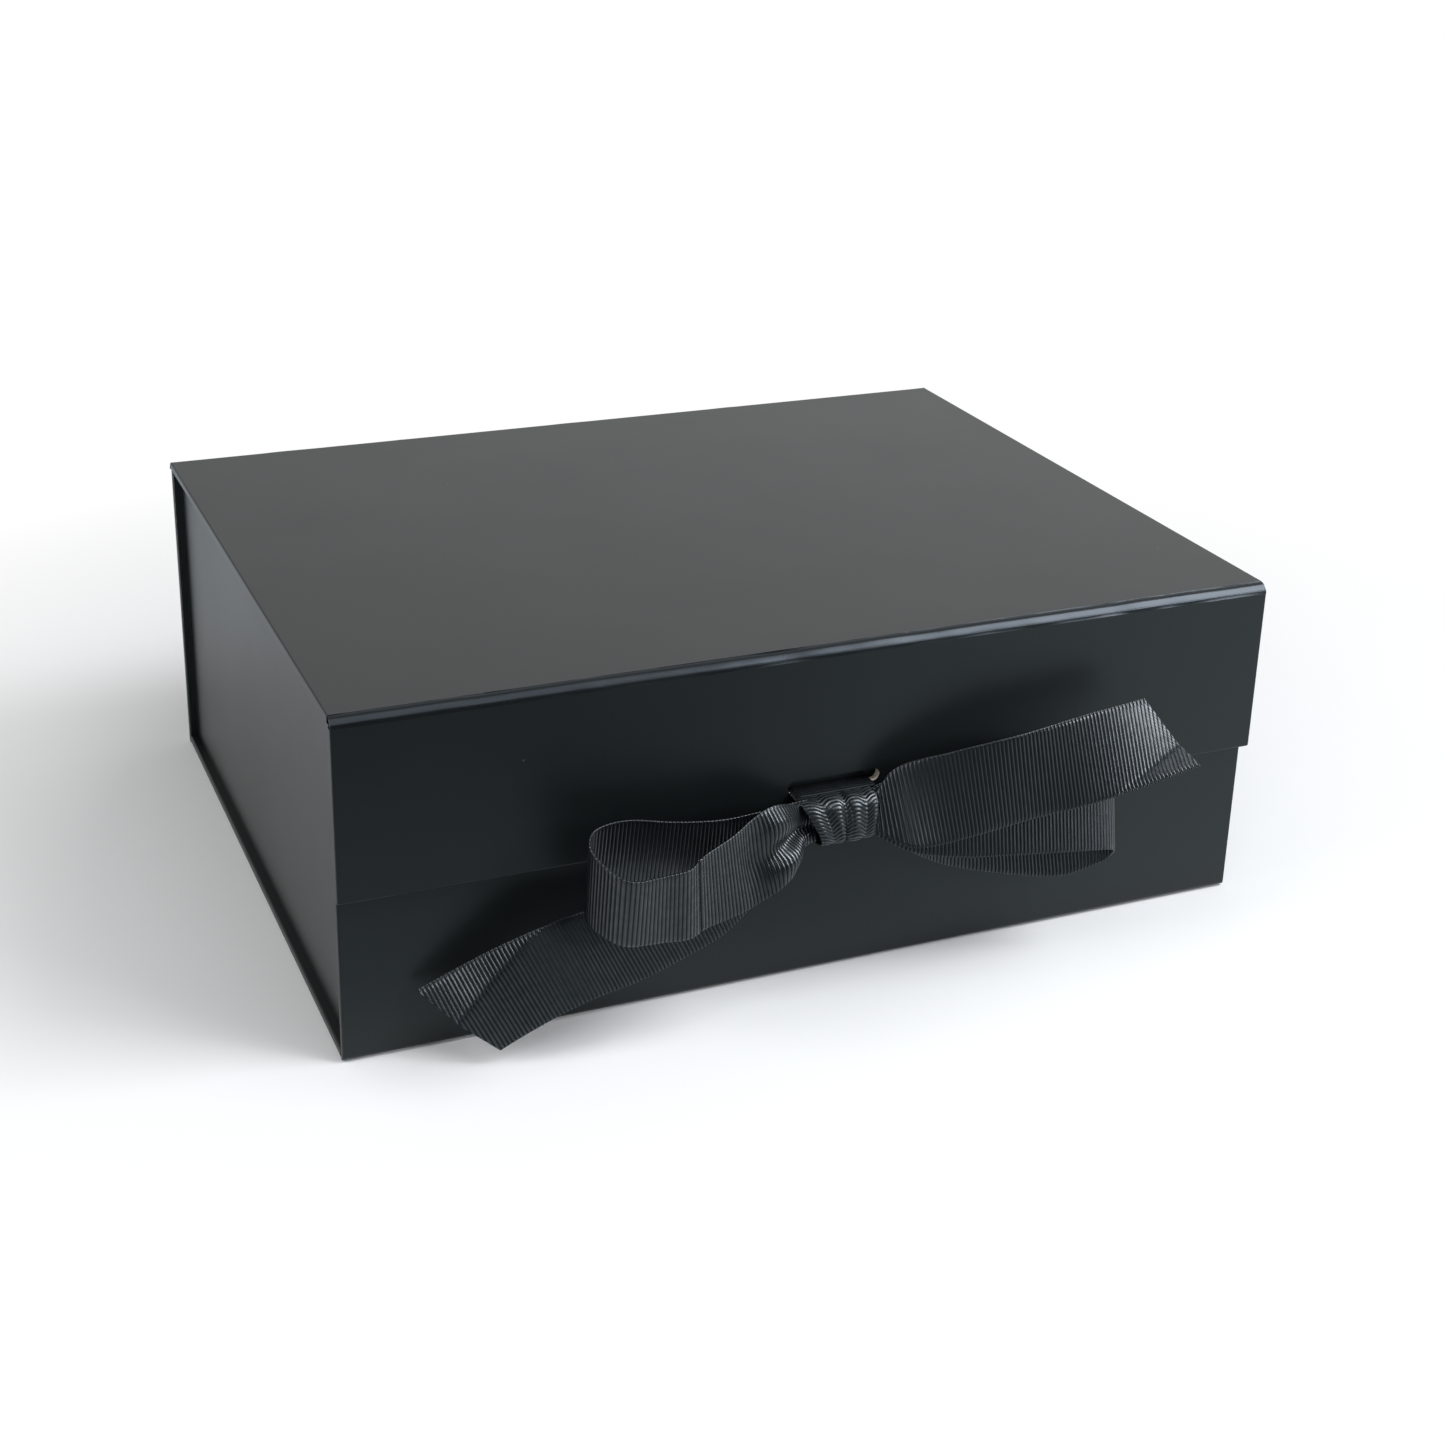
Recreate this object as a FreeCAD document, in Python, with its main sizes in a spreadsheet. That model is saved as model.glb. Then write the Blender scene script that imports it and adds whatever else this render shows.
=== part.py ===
"""Gift box with a hinged lid, a magnetic front flap and a tied ribbon bow, in millimetres.

X runs along the front, Y into the depth and Z up. The origin is on the floor, under the middle of the box.
One strip of wrapped panels goes round the box: flap, lid, back, base and front wall, with paper folds between
them. Two separate side walls stand on the base. The flap folds from the lid, and the lid from the back.
"""

import FreeCAD
import Part
import Sketcher

import math
import os
import re

# Driving dimensions

SIZES = {
    "width": 256.0,  # lid and flap, side to side
    "depth": 200.0,  # flap's face to the back
    "height": 93.0,  # floor to the lid's top
    "board": 2.0,  # grey board inside every panel
    "paper": 0.2,  # wrap and liner
    "fold_gap": 0.3,  # room left at a fold beyond the panel's thickness
    "crease": 0.1,  # gap between the two halves of a folded strip
    "pivot_lift": 0.1,  # how far a fold turns outside its paper
    "case_inset": 0.5,  # base, back and front are this much narrower than the lid, each side
    "side_recess": 2.5,  # side wall behind the base's edge
    "lid_clearance": 0.3,  # lid above the walls
    "liner_border": 2.5,  # wrap that shows round a liner
    "flap_height": 48.0,
    "flap_gap": 0.8,  # flap in front of the front wall
    "ear_width": 20.0,  # glued tab at each end of a side wall
    "ear_inset": 3.0,  # tab shorter than its wall, above and below
    "tab_width": 16.0,  # tab under the base liner
    "tab_inset": 10.0,  # tab shorter than its wall, front and back
    "tape": 0.2,  # double-sided tape under an ear
    "tape_border": 3.0,
    "liner_play": 0.1,
    "magnet_radius": 5.0,
    "magnet_thickness": 1.5,
    "magnet_play": 0.1,
    "magnet_reach": 88.0,  # from the middle of the box
    "magnet_rise": 14.0,  # above the flap's lower edge
    "strike_thickness": 1.0,  # steel disc that a magnet pulls on
    "slot_play": 2.6,  # slot longer than the ribbon is wide
    "slot_width": 3.4,
    "slot_rise": 10.8,  # above the flap's lower edge
    "slot_offset": 0.6,  # right of the middle of the box
    "ribbon_width": 23.0,
    "ribbon_thickness": 0.4,
    "band_width": 20.0,  # ribbon gathered where it passes the slot
    "band_offset": -2.0,  # from the middle of the slot
    "band_play": 0.1,
    "knot_width": 19.0,
    "knot_height": 18.0,
    "knot_depth": 9.4,
    "knot_offset": -3.0,  # its middle from the middle of the slot
    "knot_drop": 6.0,  # its middle below the middle of the slot
    "knot_standoff": 0.6,  # in front of the flap
    "knot_round": 2.0,
}

# Values that follow from them

DERIVED = {
    "panel": "board + 2 * paper",
    "setback": "panel + fold_gap",
    "leaf": "setback * sqrt(2) / 2 - crease / 2",
    "half_lid": "width / 2",
    "half_case": "width / 2 - case_inset",
    "half_side": "half_case - side_recess",
    "side_inner": "half_side - panel",
    "flap_face": "0 - depth / 2",
    "flap_inner": "flap_face + panel",
    "flap_bottom": "height - flap_height",
    "wall_face": "flap_inner + flap_gap",
    "wall_inner": "wall_face + panel",
    "back_face": "depth / 2",
    "back_inner": "back_face - panel",
    "wall_top": "height - panel - lid_clearance",
    "side_front": "wall_inner + tape + paper",
    "side_back": "back_inner - tape - paper",
    "slot_length": "ribbon_width + slot_play",
    "slot_height": "flap_bottom + slot_rise",
    "magnet_height": "flap_bottom + magnet_rise",
    "band_back": "flap_inner + band_play",
    "band_low": "flap_bottom - band_play",
    "band_middle": "slot_offset + band_offset",
    "knot_back": "flap_face - knot_standoff",
    "knot_left": "slot_offset + knot_offset - knot_width / 2",
    "knot_right": "slot_offset + knot_offset + knot_width / 2",
    "knot_low": "slot_height - knot_drop - knot_height / 2",
}

X_AXIS = FreeCAD.Vector(1, 0, 0)
ALONG_Y = FreeCAD.Rotation(X_AXIS, -90)

doc = FreeCAD.newDocument("gift_box")
sheet = doc.addObject("Spreadsheet::Sheet", "sizes")

for row, (alias, value) in enumerate(SIZES.items(), start=1):
    sheet.set(f"A{row}", alias)
    sheet.set(f"B{row}", str(value))
    sheet.setAlias(f"B{row}", alias)
for row, (alias, formula) in enumerate(DERIVED.items(), start=1):
    sheet.set(f"D{row}", alias)
    sheet.set(f"E{row}", "=" + formula)
    sheet.setAlias(f"E{row}", alias)
doc.recompute()

WORD = re.compile(r"\b(" + "|".join([*SIZES, *DERIVED]) + r")\b")


def size(alias):
    """A size as a plain number, for a shape that no primitive gives."""
    return float(sheet.get(alias))


def bind(thing, **properties):
    """Ties properties of an object to a sum of sizes; the name Base_x means Placement.Base.x."""
    for name, formula in properties.items():
        path = name.replace("Base_", "Placement.Base.")
        thing.setExpression(path, WORD.sub(r"sizes.\1", formula))


# Building blocks


def block(name, x, y, z):
    """A box from its low and high side along each axis."""
    box = doc.addObject("Part::Box", name)
    for axis, side, (low, high) in zip("xyz", ("Length", "Width", "Height"), (x, y, z)):
        bind(box, **{side: f"({high}) - ({low})", f"Base_{axis}": low})
    return box


def both_sides(half):
    return (f"0 - ({half})", half)


def inset(span, gap):
    low, high = span
    return (f"{low} + ({gap})", f"{high} - ({gap})")


def cut(name, base, *tools):
    """The base without the tools, taken away one after another."""
    for number, tool in enumerate(tools, start=1):
        result = doc.addObject("Part::Cut", name if number == len(tools) else f"{name}_step_{number}")
        result.Base = base
        result.Tool = tool
        base = result
    return base


def fuse(name, *shapes):
    joined = doc.addObject("Part::MultiFuse", name)
    joined.Shapes = list(shapes)
    joined.Refine = True
    return joined


def group(name, *shapes):
    """Separate solids that share one node."""
    together = doc.addObject("Part::Compound", name)
    together.Links = list(shapes)
    return together


def disc(name, x, y, z, radius, length):
    """A short cylinder along Y."""
    cylinder = doc.addObject("Part::Cylinder", name)
    cylinder.Placement = FreeCAD.Placement(FreeCAD.Vector(), ALONG_Y)
    bind(cylinder, Radius=radius, Height=length, Base_x=x, Base_y=y, Base_z=z)
    return cylinder


def disc_pair(name, y, radius, length):
    """Two discs, left and right, behind the flap's lower corners."""
    left = disc(f"{name}_left", "0 - magnet_reach", y, "magnet_height", radius, length)
    right = disc(f"{name}_right", "magnet_reach", y, "magnet_height", radius, length)
    return group(name, left, right)


def fold_leaf(name, half, y, z, turn):
    """Half of the paper strip across a fold, at 45 degrees, from a panel's edge to the crease."""
    strip = doc.addObject("Part::Box", name)
    strip.Placement = FreeCAD.Placement(FreeCAD.Vector(), FreeCAD.Rotation(X_AXIS, turn))
    bind(strip, Length=f"2 * {half}", Width="leaf", Height="paper * sqrt(2)")
    bind(strip, Base_x=f"0 - {half}", Base_y=y, Base_z=z)
    return strip


def panel_core(name, half, y, z):
    """The space inside the paper of a wrapped panel, which its board fills."""
    return block(name, inset(both_sides(half), "paper"), inset(y, "paper"), inset(z, "paper"))


def wrapped_panel(name, half, y, z, liner_y, liner_z, leaves, cuts=()):
    """The wrap of a panel: paper round its board, open where the liner lies, with its halves of the folds."""
    outer = block(f"{name}_outer", both_sides(half), y, z)
    filling = panel_core(f"{name}_filling", half, y, z)
    window = block(f"{name}_window", inset(both_sides(half), "liner_border"), liner_y, liner_z)
    shell = cut(f"{name}_shell", outer, filling, window, *cuts)
    return fuse(f"{name}_wrap", shell, *leaves)


# Base: board, wrap and liner

base_y = ("wall_face + setback", "back_face - setback")
base_z = ("0", "panel")
base_window_z = ("board + paper", "panel")
base_board = panel_core("base_board", "half_case", base_y, base_z)
base_outer = block("base_outer", both_sides("half_case"), base_y, base_z)
base_filling = panel_core("base_filling", "half_case", base_y, base_z)
base_window = block("base_window", both_sides("half_side"), inset(base_y, "paper"), base_window_z)
base_shell = cut("base_shell", base_outer, base_filling, base_window)
base_wrap = fuse(
    "base_wrap",
    base_shell,
    fold_leaf("base_back_leaf", "half_case", "back_face - setback", "0", 45),
    fold_leaf("base_front_leaf", "half_case", "wall_face + setback + paper", "paper", 135),
)

# The base liner lies on the board in the middle and steps up over the side walls' tabs
liner_reach = "half_side - tab_width - liner_play"
base_liner = fuse(
    "base_liner",
    block("liner_middle", both_sides(liner_reach), inset(base_y, "paper"), base_window_z),
    block(
        "liner_left_step",
        ("liner_play - side_inner", f"paper - ({liner_reach})"),
        inset(base_y, "paper"),
        ("panel", "panel + paper"),
    ),
    block(
        "liner_right_step",
        (f"{liner_reach} - paper", "side_inner - liner_play"),
        inset(base_y, "paper"),
        ("panel", "panel + paper"),
    ),
)

# Back: board, wrap and liner

back_y = ("back_inner", "back_face")
back_z = ("setback", "height - setback")
back_liner_y = ("back_inner", "back_inner + paper")
back_liner_z = inset(back_z, "paper")
liner_span = inset(both_sides("half_case"), "liner_border")
back_board = panel_core("back_board", "half_case", back_y, back_z)
back_liner = block("back_liner", liner_span, back_liner_y, back_liner_z)
back_wrap = wrapped_panel(
    "back",
    "half_case",
    back_y,
    back_z,
    back_liner_y,
    back_liner_z,
    [
        fold_leaf("back_top_leaf", "half_case", "back_face", "height - setback", 135),
        fold_leaf("back_bottom_leaf", "half_case", "back_face - paper", "setback + paper", -135),
    ],
)

# Front wall: board with pockets for the steel discs, wrap and liner

front_y = ("wall_face", "wall_inner")
front_z = ("setback", "wall_top")
front_liner_y = ("wall_inner - paper", "wall_inner")
front_liner_z = ("setback + paper", "wall_top - liner_border")
front_blank = panel_core("front_blank", "half_case", front_y, front_z)
strike_plates = disc_pair("strike_plates", "wall_face + paper", "magnet_radius", "strike_thickness")
strike_pockets = disc_pair(
    "strike_pockets", "wall_face + paper", "magnet_radius + magnet_play", "strike_thickness"
)
front_board = cut("front_board", front_blank, strike_pockets)
front_liner = block("front_liner", liner_span, front_liner_y, front_liner_z)
front_wrap = wrapped_panel(
    "front",
    "half_case",
    front_y,
    front_z,
    front_liner_y,
    front_liner_z,
    [fold_leaf("front_bottom_leaf", "half_case", "wall_face", "setback", -45)],
)

# Side walls: board, and a sleeve of paper with two glued ears and a tab under the base liner


def mirrored(span, side):
    """A span along X for the right side, or its mirror image for the left."""
    low, high = span
    return span if side == "right" else (f"0 - ({high})", f"0 - ({low})")


def side_wall(side):
    across = mirrored(("side_inner", "half_side"), side)
    core = inset(across, "paper")
    length = ("side_front", "side_back")
    ear_x = mirrored(("half_side - ear_width", "side_inner"), side)
    ear_z = ("panel + ear_inset", "wall_top - ear_inset")
    tab_x = mirrored(("half_side - tab_width", "half_side"), side)
    sleeve_y = ("side_front - paper", "side_back + paper")
    sleeve_z = ("panel", "wall_top")
    board = block(f"{side}_side_board", core, length, inset(sleeve_z, "paper"))
    sleeve = block(f"{side}_sleeve_outer", across, sleeve_y, sleeve_z)
    filling = block(f"{side}_sleeve_filling", core, length, inset(sleeve_z, "paper"))
    wrap = fuse(
        f"{side}_side_wrap",
        cut(f"{side}_sleeve", sleeve, filling),
        block(f"{side}_front_ear", ear_x, ("side_front - paper", "side_front"), ear_z),
        block(f"{side}_back_ear", ear_x, ("side_back", "side_back + paper"), ear_z),
        block(f"{side}_tab", tab_x, inset(length, "tab_inset"), base_window_z),
    )
    tape_x = inset(ear_x, "tape_border")
    tape_z = inset(ear_z, "tape_border")
    tapes = [
        block(f"{side}_front_tape", tape_x, ("wall_inner", "wall_inner + tape"), tape_z),
        block(f"{side}_back_tape", tape_x, ("back_inner - tape", "back_inner"), tape_z),
    ]
    return board, wrap, tapes


left_side_board, left_side_wrap, left_tapes = side_wall("left")
right_side_board, right_side_wrap, right_tapes = side_wall("right")
corner_tapes = group("corner_tapes", *left_tapes, *right_tapes)

# Lid: board, wrap and liner

lid_y = ("flap_face + setback", "back_face - setback")
lid_z = ("height - panel", "height")
lid_liner_z = ("height - panel", "height - panel + paper")
lid_liner_span = inset(both_sides("half_lid"), "liner_border")
lid_board = panel_core("lid_board", "half_lid", lid_y, lid_z)
lid_liner = block("lid_liner", lid_liner_span, inset(lid_y, "paper"), lid_liner_z)
lid_wrap = wrapped_panel(
    "lid",
    "half_lid",
    lid_y,
    lid_z,
    inset(lid_y, "paper"),
    lid_liner_z,
    [
        fold_leaf("lid_back_leaf", "half_lid", "back_face - setback - paper", "height - paper", -45),
        fold_leaf("lid_front_leaf", "half_lid", "flap_face + setback", "height", -135),
    ],
)

# Flap: board with the ribbon slot and magnet pockets, wrap and liner

flap_y = ("flap_face", "flap_inner")
flap_z = ("flap_bottom", "height - setback")
flap_liner_y = ("flap_inner - paper", "flap_inner")
flap_liner_z = ("flap_bottom + liner_border", "height - setback - paper")
magnet_y = "flap_inner - paper - magnet_thickness"


def slot_end(name, x):
    """The round end of the slot, through the whole flap."""
    return disc(name, x, "flap_face - paper", "slot_height", "slot_width / 2", "panel + 2 * paper")


slot_half = "(slot_length - slot_width) / 2"
ribbon_slot = fuse(
    "ribbon_slot",
    block(
        "slot_middle",
        (f"slot_offset - {slot_half}", f"slot_offset + {slot_half}"),
        ("flap_face - paper", "flap_inner + paper"),
        ("slot_height - slot_width / 2", "slot_height + slot_width / 2"),
    ),
    slot_end("slot_left_end", f"slot_offset - {slot_half}"),
    slot_end("slot_right_end", f"slot_offset + {slot_half}"),
)
flap_magnets = disc_pair("flap_magnets", magnet_y, "magnet_radius", "magnet_thickness")
magnet_pockets = disc_pair("magnet_pockets", magnet_y, "magnet_radius + magnet_play", "magnet_thickness")
flap_blank = panel_core("flap_blank", "half_lid", flap_y, flap_z)
flap_board = cut("flap_board", flap_blank, ribbon_slot, magnet_pockets)
liner_blank = block("flap_liner_blank", lid_liner_span, flap_liner_y, flap_liner_z)
flap_liner = cut("flap_liner", liner_blank, ribbon_slot)
flap_wrap = wrapped_panel(
    "flap",
    "half_lid",
    flap_y,
    flap_z,
    flap_liner_y,
    flap_liner_z,
    [fold_leaf("flap_top_leaf", "half_lid", "flap_face + paper", "height - setback - paper", 45)],
    cuts=[ribbon_slot],
)

# Ribbon through the slot and round the flap's lower edge, open at the front where the knot sits

band_x = ("band_middle - band_width / 2", "band_middle + band_width / 2")
band_outer = block(
    "band_outer",
    band_x,
    ("knot_back", "band_back + ribbon_thickness"),
    ("band_low - ribbon_thickness", "slot_height + ribbon_thickness / 2"),
)
band_inner = block(
    "band_inner",
    inset(band_x, "0 - band_play"),
    ("knot_back - band_play", "band_back"),
    ("band_low", "slot_height - ribbon_thickness / 2"),
)
ribbon_band = cut("ribbon_band", band_outer, band_inner)

# Knot: a padded block with every edge rounded


def rectangle(sketch, wide, high):
    """A rectangle from the sketch's origin, with its two sides tied to sizes."""
    corners = [FreeCAD.Vector(x, y) for x, y in ((0, 0), (1, 0), (1, 1), (0, 1))]
    for start in range(4):
        sketch.addGeometry(Part.LineSegment(corners[start], corners[(start + 1) % 4]))
    for start in range(4):
        sketch.addConstraint(Sketcher.Constraint("Coincident", start, 2, (start + 1) % 4, 1))
    for line, direction in enumerate(("Horizontal", "Vertical", "Horizontal", "Vertical")):
        sketch.addConstraint(Sketcher.Constraint(direction, line))
    sketch.addConstraint(Sketcher.Constraint("Coincident", 0, 1, -1, 1))
    for line, formula in ((0, wide), (1, high)):
        number = sketch.addConstraint(Sketcher.Constraint("Distance", line, 1.0))
        sketch.setExpression(f"Constraints[{number}]", WORD.sub(r"sizes.\1", formula))


knot_body = doc.addObject("PartDesign::Body", "ribbon_knot")
knot_sketch = knot_body.newObject("Sketcher::SketchObject", "knot_outline")
xz_plane = next(plane for plane in knot_body.Origin.OriginFeatures if plane.Role == "XZ_Plane")
knot_sketch.AttachmentSupport = [(xz_plane, "")]
knot_sketch.MapMode = "FlatFace"
rectangle(knot_sketch, "knot_width", "knot_height")
knot_pad = knot_body.newObject("PartDesign::Pad", "knot_pad")
knot_pad.Profile = knot_sketch
bind(knot_pad, Length="knot_depth")
doc.recompute()
knot_round = knot_body.newObject("PartDesign::Fillet", "knot_edges")
knot_round.Base = (knot_pad, [f"Edge{number}" for number in range(1, len(knot_pad.Shape.Edges) + 1)])
bind(knot_round, Radius="knot_round")
bind(knot_body, Base_x="knot_left", Base_y="knot_back", Base_z="knot_low")

# Loops and tails: strips of ribbon, each a list of stations chosen by eye
# A station is the strip's middle (right of the slot's middle, in front of the flap, above the slot),
# the way its upper edge lies from there, and the share of the ribbon's width that is spread out

KNOT_LEFT = size("knot_left") - size("slot_offset")
KNOT_RIGHT = size("knot_right") - size("slot_offset")

LEFT_LOOP = [
    ((KNOT_LEFT, 7.4, -6.6), (0.0, -0.2, 1.0), 0.66),
    ((-21.0, 12.5, -8.0), (-0.2, -0.15, 0.96), 0.9),
    ((-31.0, 16.0, -11.5), (-0.18, 0.05, 0.98), 1.0),
    ((-47.4, 21.3, -13.3), (-0.13, 0.23, 0.96), 1.0),
    ((-58.3, 24.5, -13.1), (-0.1, 0.31, 0.94), 1.0),
    ((-66.6, 23.7, -11.0), (-0.07, 0.33, 0.94), 1.0),
    ((-71.0, 19.6, -9.2), (-0.05, 0.25, 0.97), 1.0),
    ((-71.8, 15.0, -7.2), (-0.03, 0.2, 0.98), 1.0),
    ((-68.5, 10.8, -6.0), (0.0, 0.2, 0.98), 1.0),
    ((-60.0, 9.0, -6.2), (0.0, 0.2, 0.98), 1.0),
    ((-48.0, 8.6, -9.0), (0.0, 0.2, 0.98), 1.0),
    ((-35.0, 8.2, -11.5), (0.0, 0.12, 0.99), 1.0),
    ((-23.0, 7.0, -10.5), (0.0, 0.0, 1.0), 0.82),
    ((KNOT_LEFT, 5.0, -7.0), (0.0, 0.0, 1.0), 0.5),
]
LEFT_TAIL = [
    ((KNOT_LEFT, 3.0, -8.0), (0.0, -0.1, 1.0), 0.4),
    ((-24.0, 3.4, -16.0), (-0.3, -0.1, 0.95), 0.85),
    ((-36.0, 4.2, -23.0), (-0.4, -0.1, 0.91), 1.0),
    ((-47.0, 5.4, -27.0), (-0.42, -0.15, 0.89), 1.0),
    ((-61.0, 8.0, -29.8), (-0.42, -0.2, 0.88), 1.0),
    ((-75.5, 10.4, -31.2), (-0.4, -0.2, 0.9), 1.0),
    ((-90.0, 7.8, -37.3), (-0.43, -0.15, 0.89), 1.0),
]
LEFT_TIP = ((-110.9, 1.0, -36.8), (-92.4, 7.0, -51.6))
RIGHT_LOOP = [
    ((KNOT_RIGHT, 5.4, -7.0), (0.0, -0.1, 1.0), 0.45),
    ((18.0, 7.4, -8.6), (0.0, -0.2, 0.98), 0.9),
    ((32.0, 9.2, -10.3), (0.05, -0.28, 0.96), 1.0),
    ((48.0, 10.8, -11.7), (0.08, -0.33, 0.94), 1.0),
    ((65.0, 11.6, -13.4), (0.1, -0.35, 0.93), 1.0),
    ((76.0, 10.6, -15.4), (0.1, -0.35, 0.93), 1.0),
    ((79.5, 7.6, -18.6), (0.08, -0.3, 0.95), 1.0),
    ((76.0, 4.8, -22.2), (0.05, -0.22, 0.97), 1.0),
    ((64.0, 3.9, -24.4), (0.0, -0.15, 0.99), 1.0),
    ((47.0, 3.6, -21.0), (0.0, -0.1, 0.99), 1.0),
    ((31.0, 3.4, -16.4), (0.0, -0.1, 0.99), 1.0),
    ((17.0, 3.2, -10.5), (0.0, -0.1, 0.99), 0.8),
    ((KNOT_RIGHT, 3.0, -7.6), (0.0, -0.1, 1.0), 0.4),
]
RIGHT_TAIL = [
    ((KNOT_RIGHT, 7.6, -6.0), (0.0, -0.15, 0.98), 0.5),
    ((14.0, 10.4, -5.2), (-0.1, -0.1, 0.99), 0.92),
    ((29.0, 13.8, -2.4), (-0.1, -0.2, 0.97), 1.0),
    ((47.5, 16.4, 1.0), (-0.08, -0.25, 0.96), 1.0),
    ((67.0, 17.6, 3.9), (-0.06, -0.3, 0.95), 1.0),
]
RIGHT_TIP = ((80.5, 15.0, 15.5), (94.0, 20.0, 0.5))

STEPS = 3  # sections from one station to the next


def smooth(points, span, part):
    """A point on the smooth curve through the points, a part of the way along one span."""
    last = len(points) - 1
    before, start, end, after = (points[min(max(span + k, 0), last)] for k in (-1, 0, 1, 2))
    bend = (start - end) * 3 + after - before
    pull = before * 2 - start * 5 + end * 4 - after
    return start + (end - before) * (part / 2) + pull * (part * part / 2) + bend * (part**3 / 2)


def ribbon_edges(stations, tip):
    """The strip's upper and lower edge as points in the box's frame."""
    width = size("ribbon_width")
    origin = FreeCAD.Vector(size("slot_offset"), size("flap_face"), size("slot_height"))

    def place(offset):
        right, forward, above = offset
        return origin + FreeCAD.Vector(right, -forward, above)

    upper = []
    lower = []
    for middle, (right, forward, above), share in stations:
        rise = FreeCAD.Vector(right, -forward, above).normalize() * (width * share / 2)
        upper.append(place(middle) + rise)
        lower.append(place(middle) - rise)
    if tip:
        upper.append(place(tip[0]))
        lower.append(place(tip[1]))
    spans = [(span, step / STEPS) for span in range(len(upper) - 1) for step in range(STEPS)]
    spans.append((len(upper) - 2, 1.0))
    return [smooth(upper, *at) for at in spans], [smooth(lower, *at) for at in spans]


def ribbon_strip(name, stations, tip=None):
    """A strip of ribbon as a ruled loft through thin four-sided sections, square on the knot's sides."""
    upper, lower = ribbon_edges(stations, tip)
    middles = [(high + low) * 0.5 for high, low in zip(upper, lower)]
    last = len(middles) - 1
    sections = []
    for number, (high, low) in enumerate(zip(upper, lower)):
        ahead = middles[min(number + 1, last)] - middles[max(number - 1, 0)]
        on_knot = number == 0 or (number == last and tip is None)
        if on_knot:
            ahead = X_AXIS * math.copysign(1, ahead.x)
        through = ahead.cross(high - low).normalize() * (size("ribbon_thickness") / 2)
        corners = [high + through, high - through, low - through, low + through]
        sections.append(Part.makePolygon([*corners, corners[0]]))
    strip = doc.addObject("Part::Feature", name)
    strip.Shape = Part.makeLoft(sections, True, True)
    return strip


ribbon_left_loop = ribbon_strip("ribbon_left_loop", LEFT_LOOP)
ribbon_right_loop = ribbon_strip("ribbon_right_loop", RIGHT_LOOP)
ribbon_left_tail = ribbon_strip("ribbon_left_tail", LEFT_TAIL, LEFT_TIP)
ribbon_right_tail = ribbon_strip("ribbon_right_tail", RIGHT_TAIL, RIGHT_TIP)

# Check every object, then write each sub-part

SUB_PARTS = [
    base_board,
    base_wrap,
    base_liner,
    back_board,
    back_wrap,
    back_liner,
    front_board,
    front_wrap,
    front_liner,
    strike_plates,
    left_side_board,
    left_side_wrap,
    right_side_board,
    right_side_wrap,
    corner_tapes,
    lid_board,
    lid_wrap,
    lid_liner,
    flap_board,
    flap_wrap,
    flap_liner,
    flap_magnets,
    ribbon_band,
    knot_body,
    ribbon_left_loop,
    ribbon_right_loop,
    ribbon_left_tail,
    ribbon_right_tail,
]

doc.recompute()
for thing in doc.Objects:
    if "Invalid" in thing.State or "Error" in thing.State:
        raise RuntimeError(f"{thing.Name} failed: {thing.State}")
for thing in SUB_PARTS:
    if thing.Shape.isNull() or not thing.Shape.isValid():
        raise RuntimeError(f"{thing.Label} has no valid shape")

os.makedirs("parts", exist_ok=True)
for thing in SUB_PARTS:
    thing.Shape.exportStep(f"parts/{thing.Label}.step")
    print(thing.Label, len(thing.Shape.Solids), round(thing.Shape.Volume, 2))

pivot = size("setback") / 2 - size("pivot_lift")
print("fold axes, height:", round(size("height") - pivot, 3))
print("lid fold, depth:", round(size("back_face") - pivot, 3))
print("flap fold, depth:", round(size("flap_face") + pivot, 3))
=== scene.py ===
# %% [markdown]
# A black gift box with a magnetic flap and a ribbon bow. The script starts from the frame, which is the
# CAD model at its true size, in metres. The boards, liners and steel of the CAD stay. The paper that is
# seen, the folds and the ribbon are made here. The covers and the ribbon ride on the body that carries
# them, and the folds are given to no body.

import math

import bmesh
import bpy
import numpy as np
from mathutils import Matrix, Vector


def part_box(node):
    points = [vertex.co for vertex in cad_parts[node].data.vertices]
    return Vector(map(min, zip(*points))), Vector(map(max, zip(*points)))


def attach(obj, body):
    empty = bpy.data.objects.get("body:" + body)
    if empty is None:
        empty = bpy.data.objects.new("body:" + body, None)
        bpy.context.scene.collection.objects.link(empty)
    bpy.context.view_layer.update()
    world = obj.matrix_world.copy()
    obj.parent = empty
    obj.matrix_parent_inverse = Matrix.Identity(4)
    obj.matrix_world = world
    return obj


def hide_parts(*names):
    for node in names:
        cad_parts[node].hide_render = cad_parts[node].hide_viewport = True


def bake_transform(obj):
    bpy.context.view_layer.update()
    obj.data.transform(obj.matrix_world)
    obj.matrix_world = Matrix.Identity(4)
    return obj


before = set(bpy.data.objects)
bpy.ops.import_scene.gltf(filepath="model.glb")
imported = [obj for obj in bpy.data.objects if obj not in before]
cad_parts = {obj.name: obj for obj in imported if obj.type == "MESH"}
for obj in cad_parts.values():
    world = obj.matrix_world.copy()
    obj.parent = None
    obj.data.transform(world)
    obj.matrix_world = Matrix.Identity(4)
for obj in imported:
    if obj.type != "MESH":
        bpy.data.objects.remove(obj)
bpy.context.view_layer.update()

# %% [markdown]
# Every panel of the real box is grey board with printed paper glued round it. So the CAD board tells
# where a panel is, and the paper adds 0.2 mm on each side. Inside, the cover stops a little short of
# the liner's face, so that the two don't lie in one plane.

# %% Sizes taken from the frame
MM = 0.001
PAPER = 0.2 * MM
LINER_STEP = 0.08 * MM
EDGE_RADIUS = 0.5 * MM


def panel_box(board):
    """The lowest and highest corner of a board with its paper on."""
    low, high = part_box(board)
    grow = Vector((PAPER, PAPER, PAPER))
    return Vector(low) - grow, Vector(high) + grow


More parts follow.
